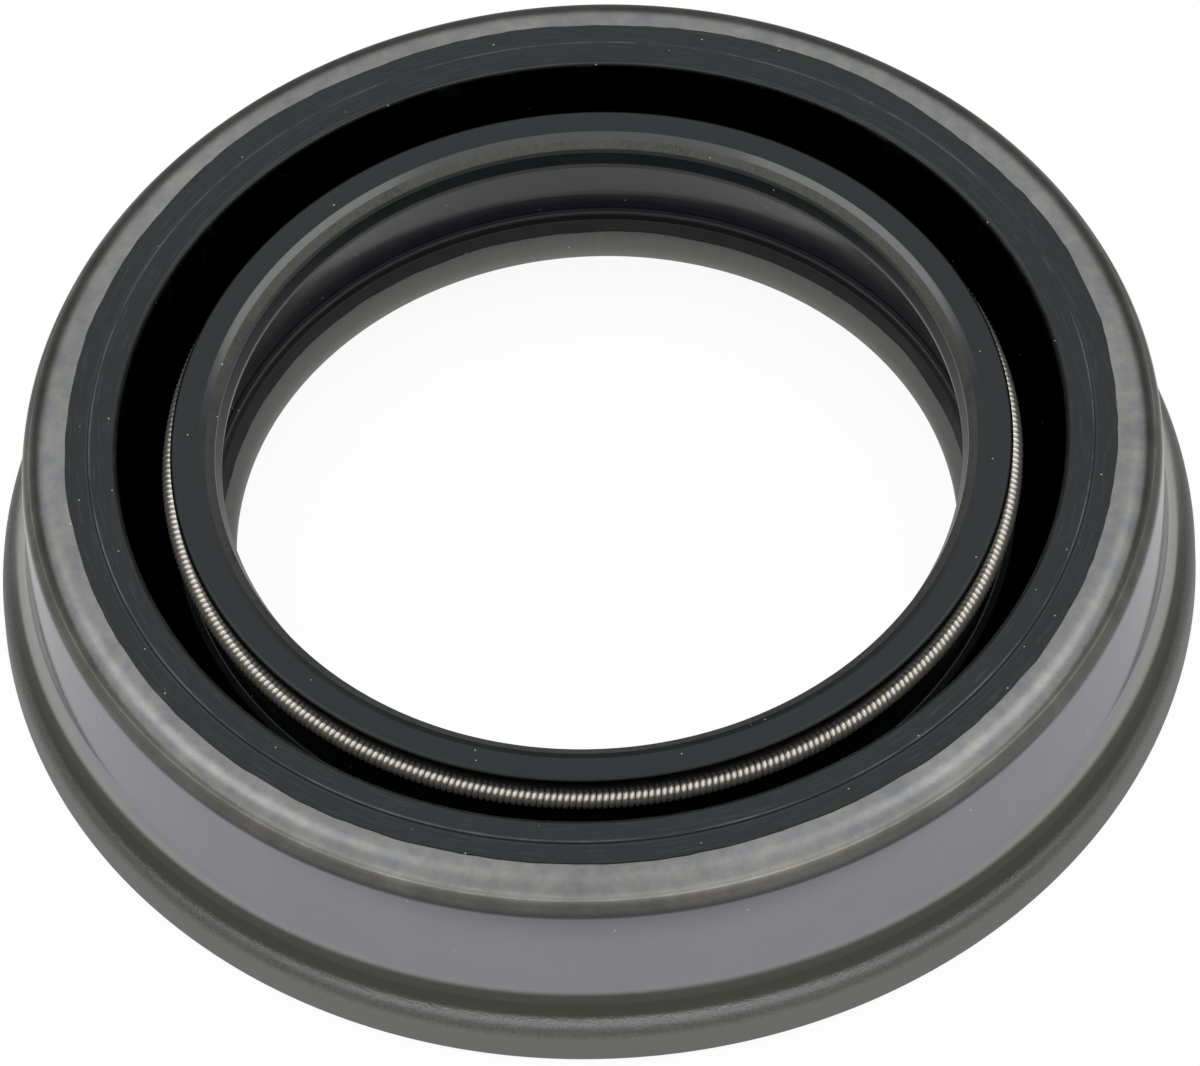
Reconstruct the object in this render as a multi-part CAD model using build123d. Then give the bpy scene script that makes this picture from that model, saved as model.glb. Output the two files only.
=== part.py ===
from build123d import *
import math
import os

# Radial shaft seal: a drawn steel case, a rubber element bonded to it, and a garter spring.
# Millimetres. The origin is on the axis, in the plane that the case's rim stands on, and +Z points to
# the sprung side. Every piece is a section of radius and height, turned round the Z axis.

# Main sizes
contact_d = 45.3  # free bore of the sealing lip's contact edge
section_w = 12.275  # from the contact edge out to the case's press-fit wall
case_h = 14.2  # from the rim's foot to the bare top face

# Steel case
sheet_t = 1.2  # sheet thickness
tight_bend_r = 0.2  # inside radius of the sharp bends
top_bend_r = 0.85  # inside radius of the bend between the wall and the top face
rim_step = 1.725  # how far the rim stands out from the wall
rim_h = 1.93  # upright part of the rim
flare_deg = 47.0  # tilt of the flare between the rim and the wall
flare_straight = 0.05  # straight left between the flare's two bends
foot_out_r = 0.4  # rounding of the rim's foot, outside
foot_in_r = 0.2  # rounding of the rim's foot, inside
fold_w = 4.825  # from the wall's face in to the inner wall's face
web_z = 5.4  # height of the web's upper face
web_corner_r = 1.3  # inside radius of the bend between the inner wall and the web
web_inset = 0.5  # how far the web's bare edge stands inside the contact edge
web_lip_r = 0.1  # inside radius of the web's turned-down edge
web_lip_h = 0.4  # how far that edge reaches below the web
web_edge_r = 0.15  # rounding of its foot

# Rubber flash and bead on the case's top
flash_w = 1.42  # width of the thin flash
flash_t = 0.07  # thickness of the flash
bead_over = 0.7  # from the inner wall's face out to the bead's outer edge
bead_w = 1.8  # width of the bead
bead_step = 0.25  # height of the bead over the bare face
bead_out_r = 0.12  # rounding of the bead's outer edge
bead_in_r = 0.5  # rounding of the bead's inner edge

# Groove round the lip
groove_draft = 0.25  # how far the groove's outer wall leans in from top to floor
groove_foot_r = 2.2  # fillet between that wall and the floor
floor_t = 2.1  # rubber between the floor and the web
flank_w = 2.5  # from the contact edge out to the lip's flank under the seat
flank_foot_r = 0.25  # fillet between that flank and the floor

# Lip head, from its top down to the contact edge
lip_drop = 0.25  # how far the lip's top lies below the bare face
head_w = 3.15  # from the contact edge out to the head's outer face
head_r = 0.3  # rounding of that face's upper edge
head_draft = 0.14  # how far that face leans in from the top to the spring's plane
bevel_w = 0.49  # width of the shallow bevel on the top's inner edge
bevel_h = 0.16  # height of that bevel
trim_w = 0.55  # width of the trimmed band
trim_h = 0.29  # fall of the trimmed band
edge_w = 0.06  # width of the steep edge below the trimmed band
edge_h = 0.3  # its fall
cone_w = 0.35  # width of the oil-side cone
cone_h = 0.7  # its fall, down to the contact edge
land_h = 0.3  # height of the contact edge's land

# Garter spring and its seat in the lip head
lip_t = 3.04  # from the contact edge out to the middle of the coil
spring_drop = 0.5  # from the contact edge down to the spring's plane
coil_d = 1.3  # outside diameter of the coil
seat_gap = 0.03  # how much larger the seat's radius is than the coil's
seat_lip_w = 3.3  # from the contact edge out to the edge of the rubber below the seat
seat_lip_t = 0.35  # thickness of that rubber

# Air side of the lip
neck_w = 1.42  # from the contact edge out to the foot of the air-side cone
neck_r = 0.35  # fillet between that cone and the ledge
ledge_w = 0.77  # width of the ledge on the web
ledge_h = 0.68  # height of the ledge over the web
ledge_r = 0.12  # rounding of the ledge's edge
toe_w = 0.33  # from the ledge's edge in to the end of the rubber on the web
toe_t = 0.03  # thickness of the rubber at that end

contact_r = contact_d / 2
case_r = contact_r + section_w
coil_r = coil_d / 2
lip_top_z = case_h - lip_drop
contact_z = lip_top_z - bevel_h - trim_h - edge_h - cone_h
spring_r = contact_r + lip_t
spring_z = contact_z - spring_drop


def section(corners):
    """A face in the XZ plane from a closed round of corners, each a radius, a height and a rounding."""
    outline = FilletPolyline(
        *[(r, z) for r, z, rounding in corners],
        radius=[rounding for r, z, rounding in corners],
        close=True,
    )
    return Plane.XZ * make_face(outline)


def beside(line, distance):
    """A bent line of radii and heights moved to its left, so that its runs stay parallel."""
    normals = []
    for (r0, z0), (r1, z1) in zip(line[:-1], line[1:]):
        length = math.hypot(r1 - r0, z1 - z0)
        normals.append(((z0 - z1) / length, (r1 - r0) / length))
    moved = []
    for i, (r, z) in enumerate(line):
        before = normals[max(i - 1, 0)]
        after = normals[min(i, len(normals) - 1)]
        share = distance / (1 + before[0] * after[0] + before[1] * after[1])
        moved.append((r + share * (before[0] + after[0]), z + share * (before[1] + after[1])))
    return moved


def case_line():
    """The face of the sheet that shows: rim, flare, wall, top, inner wall, web and turned-down edge.

    Returns its corners, and for each bend the radius on this face and how much it grows underneath.
    """
    flare = math.radians(flare_deg)
    bend_r = sheet_t + tight_bend_r
    fold_r = case_r - fold_w
    web_r = contact_r - web_inset
    flare_z = rim_h + bend_r * math.tan(flare / 2)
    wall_z = flare_z + rim_step / math.tan(flare)
    # the bend into the wall takes what the rim's bend and the short straight leave of the slope
    flare_r = (rim_step / math.sin(flare) - flare_straight) / math.tan(flare / 2) - bend_r
    line = [
        (case_r + rim_step, 0),
        (case_r + rim_step, flare_z),
        (case_r, wall_z),
        (case_r, case_h),
        (fold_r, case_h),
        (fold_r, web_z),
        (web_r, web_z),
        (web_r, web_z - sheet_t - web_lip_h),
    ]
    bends = [
        (bend_r, -1),
        (flare_r, 1),
        (sheet_t + top_bend_r, -1),
        (bend_r, -1),
        (web_corner_r, 1),
        (sheet_t + web_lip_r, -1),
    ]
    return line, bends


def case_section():
    """The sheet's section: its shown face, and the same line one thickness beneath it."""
    line, bends = case_line()
    shown = [foot_out_r] + [r for r, grows in bends] + [web_edge_r]
    under = [foot_in_r] + [r + grows * sheet_t for r, grows in bends] + [web_edge_r]
    corners = [(r, z, rounding) for (r, z), rounding in zip(line, shown)]
    back = [(r, z, rounding) for (r, z), rounding in zip(beside(line, sheet_t), under)]
    return section(corners + back[::-1])


def spring_seat():
    """The round seat that the spring lies in; it bears on the coil at its innermost line."""
    centre = (spring_r + seat_gap, spring_z)
    return Plane.XZ * Pos(*centre) * Circle(coil_r + seat_gap)


def element_section():
    """The rubber's section: drawn to the middle of the sheet, then cut back to the steel's face."""
    bead_r = case_r - fold_w + bead_over
    groove_r = bead_r - bead_w - groove_draft
    flank_r = contact_r + flank_w
    # the large fillet leaves a flat strip of the floor beside the flank, also where the floor is narrow
    floor_fillet_r = min(groove_foot_r, groove_r - flank_r - 2 * flank_foot_r)
    floor_z = web_z + floor_t
    head_out_r = contact_r + head_w
    seat_lip_r = contact_r + seat_lip_w
    seat_lip_z = spring_z - coil_r - seat_lip_t
    edge_r = contact_r + cone_w
    trim_r = edge_r + edge_w
    bevel_r = trim_r + trim_w
    neck_foot_r = contact_r + neck_w
    ledge_edge_r = neck_foot_r - ledge_w
    toe_r = ledge_edge_r - toe_w

    line, bends = case_line()
    middle = beside(line, sheet_t / 2)
    rounding = [r + grows * sheet_t / 2 for r, grows in bends]
    in_steel = [
        (toe_r, middle[6][1], 0),
        (*middle[5], rounding[4]),
        (*middle[4], rounding[3]),
        (bead_r + flash_w, middle[3][1], 0),
    ]
    top = [
        (bead_r + flash_w, case_h + flash_t, 0),
        (bead_r, case_h + flash_t, 0),
        (bead_r, case_h + bead_step, bead_out_r),
        (bead_r - bead_w, case_h + bead_step, bead_in_r),
    ]
    groove = [
        (groove_r, floor_z, floor_fillet_r),
        (flank_r, floor_z, flank_foot_r),
        (flank_r, seat_lip_z, 0),
    ]
    # the step at the spring's plane lies in the seat, which is cut out below
    head = [
        (seat_lip_r, seat_lip_z, 0),
        (seat_lip_r, spring_z, 0),
        (head_out_r - head_draft, spring_z, 0),
        (head_out_r, lip_top_z, head_r),
        (bevel_r + bevel_w, lip_top_z, 0),
        (bevel_r, lip_top_z - bevel_h, 0),
        (trim_r, lip_top_z - bevel_h - trim_h, 0),
        (edge_r, contact_z + cone_h, 0),
        (contact_r, contact_z, 0),
        (contact_r, contact_z - land_h, 0),
    ]
    air_side = [
        (neck_foot_r, web_z + ledge_h, neck_r),
        (ledge_edge_r, web_z + ledge_h, ledge_r),
        (toe_r, web_z + toe_t, 0),
    ]
    return section(in_steel + top + groove + head + air_side) - case_section() - spring_seat()


steel_case = revolve(case_section(), axis=Axis.Z)
sealing_element = revolve(element_section(), axis=Axis.Z)
garter_spring = Pos(0, 0, spring_z) * Torus(spring_r, coil_r)

os.makedirs("parts", exist_ok=True)
export_step(steel_case, "parts/steel_case.step")
export_step(sealing_element, "parts/sealing_element.step")
export_step(garter_spring, "parts/garter_spring.step")
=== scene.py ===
import math

import bpy
import numpy as np
from mathutils import Matrix, Vector


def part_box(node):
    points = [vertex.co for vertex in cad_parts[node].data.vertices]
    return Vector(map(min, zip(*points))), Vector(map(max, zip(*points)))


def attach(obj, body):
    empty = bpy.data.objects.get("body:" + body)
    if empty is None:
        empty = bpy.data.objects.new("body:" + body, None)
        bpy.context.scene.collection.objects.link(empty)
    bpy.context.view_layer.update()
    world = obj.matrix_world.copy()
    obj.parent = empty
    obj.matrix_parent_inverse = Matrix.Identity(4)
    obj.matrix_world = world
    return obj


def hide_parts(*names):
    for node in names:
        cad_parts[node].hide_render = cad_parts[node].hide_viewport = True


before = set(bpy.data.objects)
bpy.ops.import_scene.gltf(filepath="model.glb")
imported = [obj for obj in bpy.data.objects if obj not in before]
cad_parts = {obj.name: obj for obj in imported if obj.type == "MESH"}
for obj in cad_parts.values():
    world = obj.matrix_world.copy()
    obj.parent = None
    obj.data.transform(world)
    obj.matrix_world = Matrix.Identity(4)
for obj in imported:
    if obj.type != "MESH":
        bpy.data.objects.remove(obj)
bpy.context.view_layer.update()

# Radial shaft seal. Sizes of its section are in millimetres, meshes in metres.
MM = 0.001

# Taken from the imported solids
case_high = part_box("steel_case")[1] / MM
rubber_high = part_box("sealing_element")[1] / MM
spring_low, spring_high = (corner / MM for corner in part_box("garter_spring"))
rim_r = case_high.x
top_z = case_high.z
bead_z = rubber_high.z
coil_r = (spring_high.z - spring_low.z) / 2
spring_z = (spring_high.z + spring_low.z) / 2
spring_r = spring_high.x - coil_r

# Steel case
sheet_t = 1.2
tight_bend_r = 0.2
top_bend_r = 0.85
rim_step = 1.725
rim_h = 1.93
flare_deg = 47.0
flare_straight = 0.05
foot_out_r = 0.4
foot_in_r = 0.2
fold_w = 4.825
web_z = 5.4
web_corner_r = 1.3
web_r = 22.15
web_lip_r = 0.1
web_lip_h = 0.4
web_edge_r = 0.15

# Rubber: flash, bead, groove, lip and ledge
contact_r = 22.65
flash_r = 32.22
flash_t = 0.07
bead_w = 1.8
bead_over = 0.7
bead_out_r = 0.12
bead_in_r = 0.5
groove_draft = 0.25
groove_foot_r = 2.2
floor_z = 7.5
flank_w, flank_foot_r = 2.5, 0.25
lip_drop = 0.25
bevel_w, bevel_h = 0.49, 0.16
trim_w, trim_h = 0.55, 0.29
edge_w, edge_h = 0.06, 0.3
cone_w, cone_h = 0.35, 0.7
land_h = 0.3
head_w, head_r, head_draft = 3.15, 0.3, 0.14
seat_gap = 0.03
seat_lip_w, seat_lip_t = 3.3, 0.35
neck_w, neck_r = 1.42, 0.35
ledge_w, ledge_h, ledge_r = 0.77, 0.68, 0.12
toe_w, toe_t = 0.33, 0.03

# Small roundings on edges that the solids leave sharp
soft_r = 0.04
flash_edge_r = 0.03
bead_foot_r = 0.06
seat_edge_r = 0.06
seat_foot_r = 0.03
contact_edge_r = 0.02
land_foot_r = 0.03
toe_edge_r = 0.01

# The rubber's thin ends wander in and out: each wave's reach, its knots round the ring, its seed
flash_waves = [(0.11, 17, 1), (0.07, 61, 2), (0.035, 240, 3)]
toe_waves = [(0.09, 31, 4), (0.05, 89, 5), (0.02, 400, 6)]
thin_end_w = 0.2

# Spring wire
turns = 411
wire_r = 0.185

# How finely the surfaces are divided
case_segments = 540
rubber_segments = 560
steps_per_turn = 24
wire_sides = 8
seat_stations = 18
arc_step = math.radians(14)

wall_r = rim_r - rim_step
fold_r = wall_r - fold_w
bead_r = fold_r + bead_over
lip_top_z = top_z - lip_drop
contact_z = lip_top_z - bevel_h - trim_h - edge_h - cone_h
edge_r = contact_r + cone_w
trim_r = edge_r + edge_w
bevel_r = trim_r + trim_w
seat_lip_z = spring_z - coil_r - seat_lip_t
ledge_z = web_z + ledge_h
neck_foot_r = contact_r + neck_w
ledge_edge_r = neck_foot_r - ledge_w


def rounded(corners):
    """A closed outline of radius and height, from corners that each have a rounding.

    A rounded corner becomes an arc that touches both runs. It starts the rounding times the
    tangent of half the turn before the corner, and swings round a centre one rounding from both.
    """
    pieces = []
    for i, (r, z, rounding) in enumerate(corners):
        here = np.array((r, z))
        back = np.array(corners[i - 1][:2]) - here
        ahead = np.array(corners[(i + 1) % len(corners)][:2]) - here
        back /= np.linalg.norm(back)
        ahead /= np.linalg.norm(ahead)
        turn = math.pi - math.acos(back @ ahead)
        if rounding == 0:
            pieces.append(here[None])
            continue
        reach = rounding * math.tan(turn / 2)
        middle = back + ahead
        centre = here + middle / np.linalg.norm(middle) * rounding / math.cos(turn / 2)
        share = np.linspace(0, 1, max(2, math.ceil(turn / arc_step)) + 1)[:, None]
        start = here + back * reach - centre
        end = here + ahead * reach - centre
        swing = start * np.sin((1 - share) * turn) + end * np.sin(share * turn)
        pieces.append(centre + swing / math.sin(turn))
    return np.concatenate(pieces)


def beside(line, distance):
    """A bent line moved to its left, so that its runs stay parallel."""
    line = np.array(line, float)
    run = np.diff(line, axis=0)
    run /= np.linalg.norm(run, axis=1)[:, None]
    normal = np.stack((-run[:, 1], run[:, 0]), axis=1)
    before = np.concatenate((normal[:1], normal))
    after = np.concatenate((normal, normal[-1:]))
    return line + distance * (before + after) / (1 + (before * after).sum(axis=1))[:, None]


def case_line():
    """Corners of the sheet's shown face, and the radius of each bend on that face.

    The sign beside a radius says whether it grows or shrinks on the face beneath.
    """
    flare = math.radians(flare_deg)
    bend_r = sheet_t + tight_bend_r
    flare_z = rim_h + bend_r * math.tan(flare / 2)
    flare_r = (rim_step / math.sin(flare) - flare_straight) / math.tan(flare / 2) - bend_r
    line = [
        (rim_r, 0),
        (rim_r, flare_z),
        (wall_r, flare_z + rim_step / math.tan(flare)),
        (wall_r, top_z),
        (fold_r, top_z),
        (fold_r, web_z),
        (web_r, web_z),
        (web_r, web_z - sheet_t - web_lip_h),
    ]
    bends = [
        (bend_r, -1),
        (flare_r, 1),
        (sheet_t + top_bend_r, -1),
        (bend_r, -1),
        (web_corner_r, 1),
        (sheet_t + web_lip_r, -1),
    ]
    return line, bends


def case_corners():
    """The sheet's closed section: the shown face, and back along the face beneath it."""
    line, bends = case_line()
    shown = [foot_out_r] + [r for r, grows in bends] + [web_edge_r]
    under = [foot_in_r] + [r + grows * sheet_t for r, grows in bends] + [web_edge_r]
    face = [(*point, rounding) for point, rounding in zip(line, shown)]
    back = [(*point, rounding) for point, rounding in zip(beside(line, sheet_t), under)]
    return face + back[::-1]


def rubber_corners():
    """The rubber's closed section. Along the steel it runs a little inside the sheet's face."""
    sunk = 0.1
    line, bends = case_line()
    inside = beside(line, sunk)
    rounding = [r + grows * sunk for r, grows in bends]
    groove_r = bead_r - bead_w - groove_draft
    toe_r = ledge_edge_r - toe_w
    seat = seat_points()
    in_steel = [
        (toe_r, inside[6][1], 0),
        (*inside[5], rounding[4]),
        (*inside[4], rounding[3]),
        (flash_r, inside[3][1], 0),
    ]
    top = [
        (flash_r, top_z + flash_t, flash_edge_r),
        (bead_r, top_z + flash_t, bead_foot_r),
        (bead_r, bead_z, bead_out_r),
        (bead_r - bead_w, bead_z, bead_in_r),
    ]
    groove = [
        (groove_r, floor_z, groove_foot_r),
        (contact_r + flank_w, floor_z, flank_foot_r),
        (contact_r + flank_w, seat_lip_z, soft_r),
        (contact_r + seat_lip_w, seat_lip_z, seat_edge_r),
    ]
    head = [
        (contact_r + head_w, lip_top_z, head_r),
        (bevel_r + bevel_w, lip_top_z, soft_r),
        (bevel_r, lip_top_z - bevel_h, soft_r),
        (trim_r, lip_top_z - bevel_h - trim_h, soft_r),
        (edge_r, contact_z + cone_h, soft_r),
        (contact_r, contact_z, contact_edge_r),
        (contact_r, contact_z - land_h, land_foot_r),
    ]
    air_side = [
        (neck_foot_r, ledge_z, neck_r),
        (ledge_edge_r, ledge_z, ledge_r),
        (toe_r, web_z + toe_t, toe_edge_r),
    ]
    return in_steel + top + groove + seat + head + air_side


def seat_points():
    """The spring's round seat: an arc from the rubber below it, round the inside, to the head.

    It starts where its circle meets the edge of that rubber and ends on the head's leaning face.
    """
    middle_r = spring_r + seat_gap
    radius = coil_r + seat_gap
    foot = -math.acos((contact_r + seat_lip_w - middle_r) / radius)
    lean = math.atan(head_draft / (lip_top_z - spring_z))
    face = contact_r + head_w - head_draft - middle_r
    mouth = math.acos(face * math.cos(lean) / radius) - lean
    arc = [
        (middle_r + radius * math.cos(a), spring_z + radius * math.sin(a), 0)
        for a in np.linspace(foot, mouth - 2 * math.pi, seat_stations)
    ]
    arc[0] = (*arc[0][:2], seat_foot_r)
    arc[-1] = (*arc[-1][:2], soft_r)
    return arc


def wander(count, knots, seed):
    """A closed random line: random heights at even knots, eased between by half a cosine."""
    heights = np.random.default_rng(seed).uniform(-1, 1, knots)
    place = np.arange(count) * knots / count
    low = place.astype(int)
    ease = (1 - np.cos(np.pi * (place - low))) / 2
    return heights[low % knots] * (1 - ease) + heights[(low + 1) % knots] * ease


def grid_mesh(name, points):
    """A mesh over a grid that closes both ways: rings by stations, a four-sided face a cell."""
    rings, stations = points.shape[:2]
    index = np.arange(rings * stations).reshape(rings, stations)
    ahead = np.roll(index, -1, axis=0)
    corners = (index, ahead, np.roll(ahead, -1, axis=1), np.roll(index, -1, axis=1))
    faces = np.stack(corners, axis=-1).reshape(-1, 4)
    mesh = bpy.data.meshes.new(name)
    mesh.vertices.add(rings * stations)
    mesh.vertices.foreach_set("co", (points * MM).astype(np.float32).ravel())
    mesh.loops.add(faces.size)
    mesh.loops.foreach_set("vertex_index", faces.ravel().astype(np.int32))
    mesh.polygons.add(len(faces))
    mesh.polygons.foreach_set("loop_start", np.arange(0, faces.size, 4, dtype=np.int32))
    mesh.update(calc_edges=True)
    mesh.validate()
    mesh.polygons.foreach_set("use_smooth", np.ones(len(faces), bool))
    piece = bpy.data.objects.new(name, mesh)
    bpy.context.scene.collection.objects.link(piece)
    return piece


def turned(name, outline, segments, shift=None):
    """A section turned round the axis: x = r cos a, y = r sin a, with r and z from the outline.

    shift is added to them: an array of angle, point of the outline, and radius or height.
    """
    angle = np.arange(segments) * 2 * math.pi / segments
    section = np.repeat(outline[None], segments, axis=0)
    if shift is not None:
        section = section + shift
    r, z = section[..., 0], section[..., 1]
    across, along = np.cos(angle)[:, None], np.sin(angle)[:, None]
    return grid_mesh(name, np.stack((r * across, r * along, z), axis=-1))


def near(outline, r, z, reach):
    """One at outline points close to a radius and height, falling to zero at the reach."""
    distance = np.hypot(outline[:, 0] - r, outline[:, 1] - z)
    return np.clip(1 - distance / reach, 0, 1)


def build_case():
    return turned("case_shell", rounded(case_corners()), case_segments)


def build_rubber():
    """The moulding, with the edge of the flash and the toe on the web wandering in and out."""
    outline = rounded(rubber_corners())
    count = rubber_segments
    flash_edge = sum(reach * wander(count, knots, seed) for reach, knots, seed in flash_waves)
    toe_edge = sum(reach * wander(count, knots, seed) for reach, knots, seed in toe_waves)
    shift = np.zeros((count, len(outline), 2))
    shift[..., 0] += flash_edge[:, None] * (outline[:, 0] > flash_r - thin_end_w)
    shift[..., 0] -= toe_edge[:, None] * near(outline, ledge_edge_r - toe_w, web_z, thin_end_w)
    return turned("rubber_element", outline, count, shift)


def build_spring():
    """A wire wound round a circle and closed on itself.

    The wire's middle is at the circle, plus the coil's mean radius along cos t out and sin t up,
    where t runs through all the turns while the circle is gone round once. The wire's surface is
    round it, in the two directions across the wire.
    """
    count = turns * steps_per_turn
    a = np.arange(count) * 2 * math.pi / count
    t = a * turns
    mean = coil_r - wire_r
    out = np.stack((np.cos(a), np.sin(a), np.zeros(count)), axis=-1)
    up = np.array((0.0, 0.0, 1.0))
    spoke = out * np.cos(t)[:, None] + up * np.sin(t)[:, None]
    middle = out * spring_r + up * spring_z + mean * spoke
    along = np.roll(middle, -1, axis=0) - np.roll(middle, 1, axis=0)
    along /= np.linalg.norm(along, axis=1)[:, None]
    across = np.cross(along, spoke)
    across /= np.linalg.norm(across, axis=1)[:, None]
    round_wire = np.arange(wire_sides) * 2 * math.pi / wire_sides
    points = (
        middle[:, None]
        + wire_r * np.cos(round_wire)[None, :, None] * spoke[:, None]
        + wire_r * np.sin(round_wire)[None, :, None] * across[:, None]
    )
    return grid_mesh("spring_coil", points)


class Value:
    """A number that varies over a surface. Arithmetic on it adds Math nodes to its tree."""

    def __init__(self, tree, socket):
        self.tree = tree
        self.socket = socket

    def __add__(self, other):
        return self.tree.maths("ADD", self, other)

    def __radd__(self, other):
        return self.tree.maths("ADD", other, self)

    def __sub__(self, other):
        return self.tree.maths("SUBTRACT", self, other)

    def __rsub__(self, other):
        return self.tree.maths("SUBTRACT", other, self)

    def __mul__(self, other):
        return self.tree.maths("MULTIPLY", self, other)

    def __rmul__(self, other):
        return self.tree.maths("MULTIPLY", other, self)

    def __truediv__(self, other):
        return self.tree.maths("DIVIDE", self, other)

    def __rtruediv__(self, other):
        return self.tree.maths("DIVIDE", other, self)


class Tree:
    """A node tree and the short ways in which the finishes here are written."""

    def __init__(self, node_tree):
        self.node_tree = node_tree
        node_tree.nodes.clear()

    def node(self, kind, settings=None, inputs=None, output=0):
        """Adds a node, its settings first, then its inputs' values or links. Gives one output."""
        made = self.node_tree.nodes.new(kind)
        for name, value in (settings or {}).items():
            setattr(made, name, value)
        for name, value in (inputs or {}).items():
            socket = made.inputs[name]
            if isinstance(value, Value):
                self.node_tree.links.new(value.socket, socket)
            else:
                socket.default_value = value
        return Value(self, made.outputs[output])

    def end(self, kind, shader):
        """Adds the tree's output node and feeds it a shader."""
        self.node_tree.links.new(shader.socket, self.node_tree.nodes.new(kind).inputs["Surface"])

    def maths(self, operation, *values):
        return self.node("ShaderNodeMath", {"operation": operation}, dict(enumerate(values)))

    def step(self, value, low, high):
        """Zero below low and one above high, eased between them."""
        settings = {"interpolation_type": "SMOOTHSTEP", "clamp": True}
        inputs = {"Value": value, "From Min": low, "From Max": high}
        return self.node("ShaderNodeMapRange", settings, inputs)

    def band(self, value, low, high, soft):
        """One between low and high, with edges that are soft over twice that distance."""
        inside = self.step(value, low - soft, low + soft)
        return inside * (1 - self.step(value, high - soft, high + soft))

    def mix(self, factor, first, second):
        settings = {"data_type": "RGBA", "blend_type": "MIX"}
        return self.node("ShaderNodeMix", settings, {0: factor, 6: first, 7: second}, output=2)

    def tint(self, colour, value):
        """A colour scaled by a value."""
        inputs = {0: colour, "Scale": value}
        return self.node("ShaderNodeVectorMath", {"operation": "SCALE"}, inputs)

    def noise(self, vector, scale=1.0, detail=2.0, roughness=0.5, distortion=0.0):
        inputs = {
            "Vector": vector,
            "Scale": scale,
            "Detail": detail,
            "Roughness": roughness,
            "Distortion": distortion,
        }
        return self.node("ShaderNodeTexNoise", {}, inputs)

    def combine(self, x, y, z):
        return self.node("ShaderNodeCombineXYZ", {}, {0: x, 1: y, 2: z})


class Finish(Tree):
    """A material on Object coordinates in mm, with a place's radius, height and direction."""

    def __init__(self, name, **constants):
        self.material = bpy.data.materials.new(name)
        self.material.use_nodes = True
        super().__init__(self.material.node_tree)
        self.shader = self.node_tree.nodes.new("ShaderNodeBsdfPrincipled")
        for socket, value in constants.items():
            self.shader.inputs[socket.replace("_", " ")].default_value = value
        self.end("ShaderNodeOutputMaterial", Value(self, self.shader.outputs[0]))
        self.mm = self.tint(self.node("ShaderNodeTexCoord", output="Object"), 1 / MM)
        parts = self.node_tree.nodes.new("ShaderNodeSeparateXYZ")
        self.node_tree.links.new(self.mm.socket, parts.inputs[0])
        x, y, self.z = (Value(self, out) for out in parts.outputs)
        self.r = self.maths("SQRT", x * x + y * y)
        self.cos = x / self.r
        self.sin = y / self.r

    def rays(self, count, wind=0.0):
        """A place for noise that changes round the seal, and by wind with radius and height."""
        return self.combine(self.cos * count, self.sin * count, (self.r + self.z) * wind)

    def rings(self, count):
        """A place for noise that changes from ring to ring and hardly round the seal."""
        return self.combine(self.r * count + self.cos, self.z * count + self.sin, self.sin)

    def specks(self, scale, size):
        """Sparse dust: one in a small ball round the cell's point, in about half of the cells."""
        core = 0.6
        cells = {"Vector": self.mm, "Scale": scale}
        distance = self.node("ShaderNodeTexVoronoi", {}, cells, output="Distance")
        draw = self.node("ShaderNodeTexVoronoi", {}, cells, output="Color")
        chosen = self.node("ShaderNodeSeparateXYZ", {}, {0: draw}, output="X")
        return (1 - self.step(distance, size * core, size)) * self.step(chosen, 0.50, 0.52)

    def use(self, **sockets):
        for name, value in sockets.items():
            self.node_tree.links.new(value.socket, self.shader.inputs[name.replace("_", " ")])

    def relief(self, height, distance):
        inputs = {"Height": height, "Distance": distance * MM, "Strength": 1.0}
        self.use(Normal=self.node("ShaderNodeBump", {}, inputs))


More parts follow.
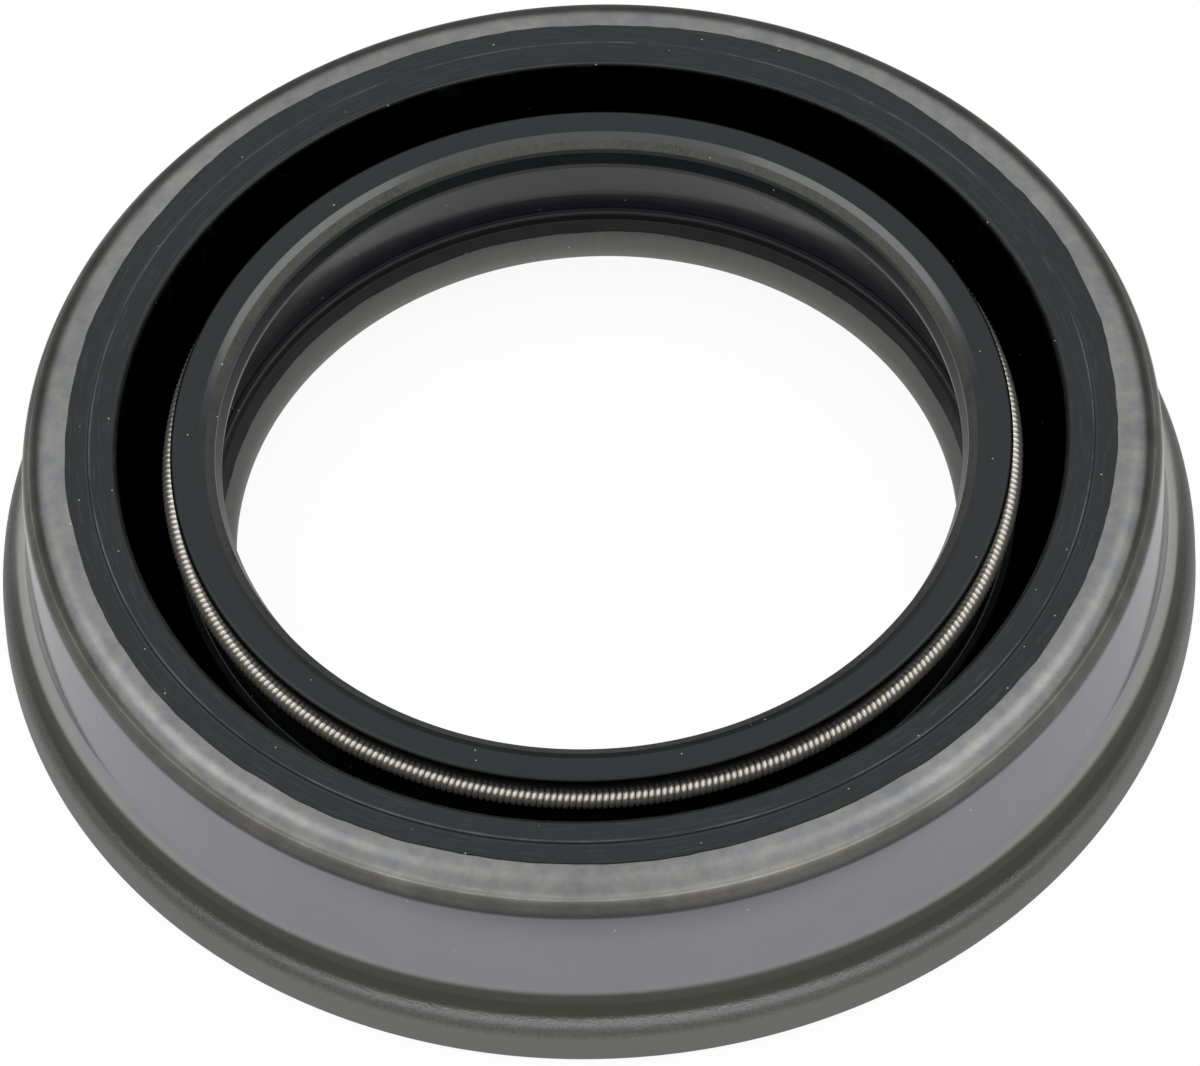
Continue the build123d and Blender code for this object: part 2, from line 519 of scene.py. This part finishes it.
def steel_finish():
    """Drawn sheet steel with a thin grey skin.

    It mirrors on the wall, is mottled on the top face, grainy on the rim's bend, and dull on the
    rim and on the web's bare ring. The rim's darker colour is painted shade.
    """
    f = Finish("case_steel_finish", Metallic=1.0)

    over_fold = f.step(f.r, fold_r - 1.1, fold_r - 0.5)
    top = f.step(f.z, top_z - 1.9, top_z - 1.3) * over_fold
    flat = f.step(f.z, top_z - 0.5, top_z - 0.1) * over_fold
    at_wall = f.step(f.r, wall_r - 0.925, wall_r - 0.725)
    bend = f.band(f.z, top_z - 1.6, top_z - 0.6, 0.3) * at_wall
    # A thin pale line round the top bend: painted highlight
    bend_highlight = f.band(f.z, top_z - 0.78, top_z - 0.70, 0.04) * at_wall
    past_wall = f.step(f.r, wall_r - 0.025, wall_r + 0.375)
    rim = (1 - f.step(f.z, rim_h + 0.82, rim_h + 1.42)) * past_wall
    grainy = f.band(f.z, rim_h + 0.17, rim_h + 1.37, 0.5) * past_wall
    slope = f.band(f.z, rim_h + 1.27, rim_h + 2.97, 0.4)
    slope = slope * f.step(f.r, wall_r - 0.025, wall_r + 0.075)
    ring = 1 - f.step(f.r, web_r + 1.25, web_r + 1.75)
    ring = ring * f.band(f.z, web_z - 2.0, web_z + 0.2, 0.1)

    cloud = f.noise(f.mm, scale=0.7, detail=5.0, roughness=0.7)
    blotch = f.noise(f.mm, scale=0.16, detail=4.0, roughness=0.6, distortion=0.6)
    grain = f.noise(f.mm, scale=3.2, detail=4.0, roughness=0.7)
    speck = f.noise(f.mm, scale=7.0, detail=2.0, roughness=0.8)
    streak = f.noise(f.rays(160.0, wind=0.03), detail=3.0, roughness=0.6)

    plain = (0.328, 0.322, 0.352, 1)
    warm = (0.285, 0.282, 0.262, 1)
    cool = (0.252, 0.258, 0.270, 1)
    dull = (0.34, 0.34, 0.325, 1)
    brown = (0.56, 0.54, 0.50, 1)
    reflected_olive = (0.38, 0.378, 0.35, 1)
    dust = (0.7, 0.7, 0.7, 1)
    colour = f.mix(top, plain, f.mix(f.step(cloud, 0.35, 0.65), cool, warm))
    colour = f.mix(bend * (0.4 + blotch), colour, brown)
    # The flare's olive tint is a painted reflection of the dim band it mirrors
    colour = f.mix(slope, colour, reflected_olive)
    colour = f.mix(ring, f.mix(rim, colour, dull), dull)

    # The rim is made darker: painted shade for the shadowed floor it mirrors near its foot
    shade = 0.95 - 0.22 * rim + 0.08 * grain
    shade = shade + (blotch - 0.5) * (0.14 + 0.45 * top)
    shade = shade + 0.9 * grainy * (speck - 0.4)
    shade = shade + top * 0.5 * (cloud - 0.5)
    shade = shade + ring * (0.15 * (streak - 0.5) + 0.35 * (web_z - 0.5 - f.z))
    # The line round the top bend is made paler: painted highlight
    shade = shade + bend_highlight * (blotch * 1.6 - 0.2)
    f.use(Base_Color=f.mix(f.specks(0.5, 0.045) * 0.7, f.tint(colour, shade), dust))

    rough = 0.12 + 0.10 * (blotch - 0.4) + top * 0.08 + bend * 0.18
    f.use(Roughness=rough + flat * 0.10 + rim * 0.38 + ring * 0.65)
    f.relief(grain * (0.1 + 0.6 * top) + grainy * speck * 2.0, 0.012)
    return f.material


def rubber_finish():
    """Black moulded rubber: smooth on open faces, tan where trimmed; painted shade in the groove.
    """
    f = Finish("seal_rubber_finish", Specular_IOR_Level=0.4, Coat_Roughness=0.12, Coat_IOR=1.65)
    groove_edge_r = bead_r - bead_w
    bevel_foot_z = lip_top_z - bevel_h

    mottle = f.noise(f.mm, scale=0.5, detail=4.0, roughness=0.6)
    fine = f.noise(f.mm, scale=6.0, detail=3.0, roughness=0.6)
    ring = f.noise(f.rings(3.0), detail=3.0, roughness=0.6)
    smeared = f.combine(f.cos * 14.0, f.sin * 14.0, f.r * 6.0)
    smear = f.noise(smeared, detail=4.0, roughness=0.6)
    ray = f.noise(f.rays(260.0, wind=1.2), detail=3.0, roughness=0.6)
    patch = f.noise(f.rays(5.0), detail=4.0, roughness=0.7)

    groove = f.band(f.r, contact_r + head_w - 0.05, groove_edge_r + 0.1, 0.1)
    groove = groove * (1 - f.step(f.z, top_z - 0.1, top_z + 0.15))
    trim = f.band(f.r, trim_r, bevel_r, 0.04)
    trim = trim * f.band(f.z, bevel_foot_z - trim_h - 0.03, bevel_foot_z + 0.03, 0.04)
    bevel = f.band(f.r, bevel_r, bevel_r + bevel_w, 0.03)
    bevel = bevel * f.step(f.z, bevel_foot_z - 0.08, bevel_foot_z)
    bead_foot = f.band(f.r, bead_r - 0.1, bead_r + 0.15, 0.05)
    inside = 1 - f.step(f.r, neck_foot_r + 0.05, neck_foot_r + 0.3)
    cone = inside * f.band(f.z, ledge_z + 0.1, contact_z - 0.02, 0.04)
    foot = inside * (1 - f.step(f.z, ledge_z - 0.1, ledge_z + 0.1))
    # A pale line along the contact edge: painted highlight
    edge = f.band(f.z, contact_z - 0.04, contact_z + 0.05, 0.02)
    edge = edge * (1 - f.step(f.r, contact_r + 0.1, contact_r + 0.2))
    dust = f.step(smear, 0.50, 0.75) * f.step(f.r, groove_edge_r - 0.5, groove_edge_r)

    # The bevel's gloss, the full tan, partly a painted reflection, and the painted highlight on
    # the bead's inner edge lie on the half of the ring at +Y
    glossy_half = f.step(f.sin, 0.1, 0.5)
    reflected_tan_half = f.step(f.sin, 0.1, 0.6)
    highlight_half = f.step(f.sin, 0.2, 0.9)
    # The trimmed band's tan is its own; the extra tan on the +Y half is painted reflection
    trimmed = trim * f.step(mottle + 0.6 * ray, 0.40, 0.75) * (0.55 + 0.45 * reflected_tan_half)
    # Pale lines on the bead's outer and inner edges: painted highlights
    edge_highlight = f.band(f.r, bead_r - 0.15, bead_r - 0.05, 0.03) * f.step(patch, 0.38, 0.60)
    edge_highlight = edge_highlight + f.band(f.r, groove_edge_r + 0.12, groove_edge_r + 0.2, 0.04) * highlight_half * 0.5
    edge_highlight = edge_highlight * f.step(f.z, top_z + 0.08, top_z + 0.14)

    open_face = (0.0100, 0.0136, 0.0155, 1)
    # Near black for the deep groove: painted shade
    groove_shade_black = (0.001, 0.001, 0.001, 1)
    cone_grey = (0.019, 0.0165, 0.0235, 1)
    foot_grey = (0.020, 0.020, 0.019, 1)
    dust_grey = (0.07, 0.075, 0.08, 1)
    tan = (0.088, 0.085, 0.072, 1)
    highlight_grey = (0.13, 0.135, 0.145, 1)
    contact_highlight_grey = (0.06, 0.056, 0.05, 1)
    pale_speck = (0.6, 0.6, 0.58, 1)
    colour = f.mix(groove, open_face, groove_shade_black)
    colour = f.mix(cone, colour, cone_grey)
    colour = f.mix(foot, colour, foot_grey)
    colour = f.mix(f.maths("MAXIMUM", dust, bead_foot) * 0.35, colour, dust_grey)
    colour = f.mix(trimmed, colour, tan)
    colour = f.mix(edge_highlight * 0.8, colour, highlight_grey)
    colour = f.mix(edge, colour, contact_highlight_grey)
    shade = 0.6 + 0.5 * mottle + 0.3 * fine
    shade = shade + trim * (0.7 * (ray - 0.5) + 0.8 * (fine - 0.5))
    f.use(Base_Color=f.mix(f.specks(0.9, 0.055), f.tint(colour, shade), pale_speck))

    rough = 0.18 + 0.14 * mottle + 0.14 * dust + 0.3 * trim + 0.10 * (ring - 0.5)
    rough = rough + 0.2 * groove + 0.25 * bead_foot - 0.13 * cone + 0.3 * foot
    # Metallic is one in the groove, so its painted black shade shows no gloss
    f.use(Roughness=rough, Coat_Weight=bevel * glossy_half, Metallic=groove)
    f.relief(fine * 0.25 * (1 - groove) * (1 - inside) + ring * 0.6 + trim * ray * 2.0, 0.01)
    return f.material


def spring_finish():
    """Bright wire with a thin film of oil."""
    f = Finish("spring_wire_finish", Metallic=0.85, Roughness=0.31)
    bright = (0.96, 0.92, 0.85, 1)
    oily = (0.84, 0.80, 0.73, 1)
    grain = f.noise(f.mm, scale=2.0, detail=3.0, roughness=0.6)
    f.use(Base_Color=f.mix(grain, bright, oily))
    return f.material


def dress(piece, node, material, sharp_deg=32.0):
    """Puts a finished piece in its node's place and gives it its finish."""
    piece.data.materials.append(material)
    piece.data.set_sharp_from_angle(angle=math.radians(sharp_deg))
    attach(piece, "root")
    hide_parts(node)


dress(build_case(), "steel_case", steel_finish())
dress(build_rubber(), "sealing_element", rubber_finish())
dress(build_spring(), "garter_spring", spring_finish(), sharp_deg=180.0)


def pale_floor(reach):
    """A plain pale floor: paper that glows up to white for the camera.

    In mirrors it is bright close to the seal and dim further out.
    """
    near_r, far_r = 0.0435, 0.050
    paper_white = 0.88
    camera_drop, camera_glow = 0.76, 0.92
    mirror_drop, near_rise, near_glow = 0.66, 0.03, 0.5
    mesh = bpy.data.meshes.new("floor")
    corners = [(-reach, -reach, 0), (reach, -reach, 0), (reach, reach, 0), (-reach, reach, 0)]
    mesh.from_pydata(corners, [], [(0, 1, 2, 3)])
    floor = bpy.data.objects.new("floor", mesh)
    bpy.context.scene.collection.objects.link(floor)
    material = bpy.data.materials.new("floor_finish")
    material.use_nodes = True
    tree = Tree(material.node_tree)
    camera = tree.node("ShaderNodeLightPath", output="Is Camera Ray")
    glossy = tree.node("ShaderNodeLightPath", output="Is Glossy Ray")
    place = tree.node("ShaderNodeTexCoord", output="Object")
    length = {"operation": "LENGTH"}
    distance = tree.node("ShaderNodeVectorMath", length, {0: place}, output="Value")
    close_by = 1 - tree.step(distance, near_r, far_r)
    pale = paper_white - camera * camera_drop - glossy * (mirror_drop - near_rise * close_by)
    paper = tree.node("ShaderNodeBsdfDiffuse", {}, {"Color": tree.combine(pale, pale, pale)})
    strength = camera * camera_glow + glossy * close_by * near_glow
    glow = tree.node("ShaderNodeEmission", {}, {"Color": (1, 1, 1, 1), "Strength": strength})
    surface = tree.node("ShaderNodeAddShader", {}, {0: paper, 1: glow})
    tree.end("ShaderNodeOutputMaterial", surface)
    mesh.materials.append(material)


def height_at(degrees):
    """Height on a sphere of radius one at an elevation over its horizon."""
    return math.sin(math.radians(degrees))


def studio_world():
    """A pale tent: bright overhead, dim near the horizon, and white where the camera sees it."""
    dim, lift_rise, brim_rise, brim_soft = 0.14, 0.71, 0.15, 0.02
    lift_deg, brim_deg = (26, 31), (30, 34)
    white = (1, 1, 1, 1)
    low_sky = (1, 1, 0.90, 1)
    high_sky = (0.98, 0.99, 1, 1)
    world = bpy.data.worlds.new("studio")
    bpy.context.scene.world = world
    world.use_nodes = True
    tree = Tree(world.node_tree)
    camera = tree.node("ShaderNodeLightPath", output="Is Camera Ray")
    direction = tree.node("ShaderNodeTexCoord", output="Generated")
    height = tree.node("ShaderNodeSeparateXYZ", {}, {0: direction}, output="Z")
    lift = tree.step(height, *map(height_at, lift_deg))
    brim = tree.band(height, *map(height_at, brim_deg), brim_soft)
    strength = (dim + lift * lift_rise + brim * brim_rise) * (1 - camera) + camera
    colour = tree.mix(camera, tree.mix(lift, low_sky, high_sky), white)
    sky = tree.node("ShaderNodeBackground", {}, {"Color": colour, "Strength": strength})
    tree.end("ShaderNodeOutputWorld", sky)


def soft_box(name, place, width, radiance):
    """A square lamp that faces the seal. Its power is its radiance times pi times its area."""
    data = bpy.data.lights.new(name, "AREA")
    data.shape = "RECTANGLE"
    data.size = width
    data.size_y = width
    data.energy = radiance * math.pi * width * width
    lamp = bpy.data.objects.new(name, data)
    lamp.location = place
    lamp.rotation_euler = (-Vector(place)).to_track_quat("-Z", "Y").to_euler()
    bpy.context.scene.collection.objects.link(lamp)


def photo_camera():
    """The photograph's view: its elevation and roll, and the place of the axis in its frame."""
    elevation = math.radians(52.746)
    roll = math.radians(3.551)
    width_px = 1200
    # This length at the axis shows as so many pixels, from so many times its length away
    unit, unit_px, units_away = 35.03 * MM, 571.22, 45
    pixel = unit / unit_px
    distance = units_away * unit
    right_px, down_px = 3.58, 7.78  # from the axis point to the middle of the frame
    axis_point = Vector((0, 0, 5.535 * MM))
    ahead = Vector((0, math.cos(elevation), -math.sin(elevation)))
    level = Vector((1, 0, 0))
    upright = Vector((0, math.sin(elevation), math.cos(elevation)))
    right = level * math.cos(roll) - upright * math.sin(roll)
    up = level * math.sin(roll) + upright * math.cos(roll)
    aim = axis_point + right * right_px * pixel - up * down_px * pixel
    data = bpy.data.cameras.new("photo_camera")
    data.sensor_fit = "HORIZONTAL"
    data.sensor_width = 36.0
    data.lens = data.sensor_width * distance / (width_px * pixel)
    camera = bpy.data.objects.new("photo_camera", data)
    turn = Matrix((right, up, -ahead)).transposed()
    camera.matrix_world = Matrix.Translation(aim - ahead * distance) @ turn.to_4x4()
    bpy.context.scene.collection.objects.link(camera)
    bpy.context.scene.camera = camera


pale_floor(reach=3.0)
studio_world()
box_x, box_y, box_z = 0.24, 0.135, 0.535
soft_box("left_box", (-box_x, box_y, box_z), width=0.25, radiance=1.1)
soft_box("right_box", (box_x, box_y, box_z), width=0.25, radiance=1.1)
photo_camera()
bpy.context.scene.view_settings.view_transform = "Standard"
